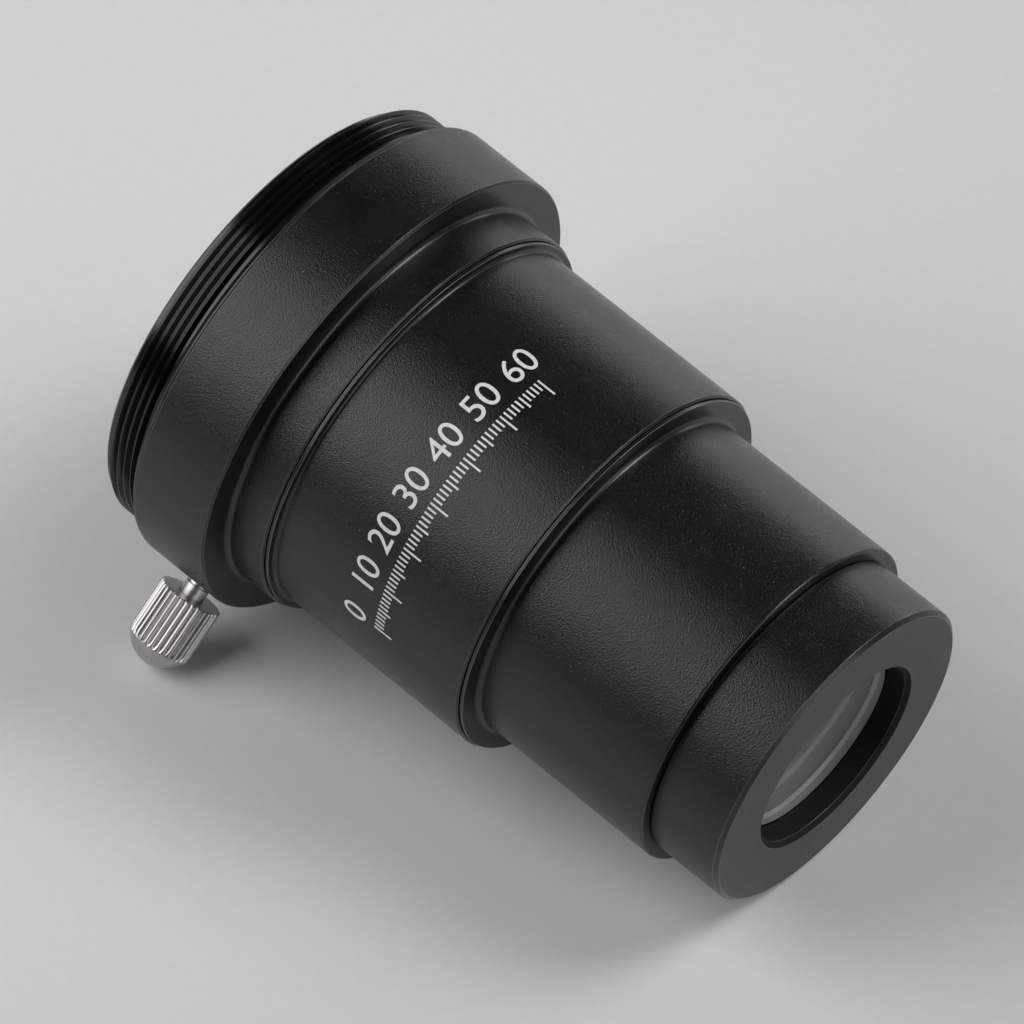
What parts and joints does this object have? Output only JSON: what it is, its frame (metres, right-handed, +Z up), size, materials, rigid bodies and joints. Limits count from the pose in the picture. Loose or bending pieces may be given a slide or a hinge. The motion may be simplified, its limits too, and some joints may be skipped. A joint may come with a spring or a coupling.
{
  "type": "barlow lens",
  "caption": "Black anodised barlow lens: stepped tube with a camera thread and thumbscrew at the eyepiece end, a slip-in barrel and an unscrewing lens cell at the other.",
  "frame": {"origin": "on the table, under the middle of the object's box", "axes": "+Z up; +X along the table towards the lens end, in line with the optical axis seen from above; the thumbscrew is on the -Y side, pointing down and out at about 45 degrees. The optical axis dips 8.1 degrees towards +X, as the stepped tube lies."},
  "size_m": [0.0676, 0.0448, 0.0446],
  "materials": {
    "black_anodised": "bead blasted and black anodised, fine satin grain",
    "matt_black": "matt black, against stray light",
    "brass": "plain turned brass",
    "glass": "polished and coated optical glass",
    "bright_nickel": "bright nickel plate on turned brass",
    "white_ink": "matt white screen print"
  },
  "bodies": {
    "barlow_tube": {"t_thread_ring": "black_anodised", "eyepiece_holder": "black_anodised", "compression_ring": "brass", "main_tube": "black_anodised", "nosepiece": "black_anodised", "baffle_ring": "matt_black"},
    "thumbscrew_stud": {"thumbscrew_stud": "bright_nickel"},
    "thumbscrew_knob": {"thumbscrew_knob": "bright_nickel"},
    "lens_glass": {"front_lens_element": "glass", "rear_lens_element": "glass"},
    "lens_cell": {"lens_cell": "black_anodised", "lens_retaining_ring": "matt_black"}
  },
  "joints": [
    {"name": "thumbscrew_travel", "type": "slide", "parent": "barlow_tube", "child": "thumbscrew_stud", "axis": [-0.0988, -0.7101, -0.6971], "range_m": [-0.00135, 0.0027]},
    {"name": "thumbscrew_turn", "type": "hinge", "parent": "thumbscrew_stud", "child": "thumbscrew_knob", "pos_m": [-0.02585, -0.02152, 0.00089], "axis": [-0.0988, -0.7101, -0.6971], "range_deg": [-1081, 2161]},
    {"name": "cell_travel", "type": "slide", "parent": "barlow_tube", "child": "lens_glass", "axis": [0.9901, 0, -0.1403], "range_m": [0, 0.0033]},
    {"name": "cell_turn", "type": "hinge", "parent": "lens_glass", "child": "lens_cell", "pos_m": [0.03175, 0.00035, 0.01463], "axis": [0.9901, 0, -0.1403], "range_deg": [-1, 1981]}
  ],
  "couplings": [
    {"joint": "thumbscrew_turn", "follows": "thumbscrew_travel", "rad_per_m": 13963},
    {"joint": "cell_turn", "follows": "cell_travel", "rad_per_m": 10472}
  ]
}
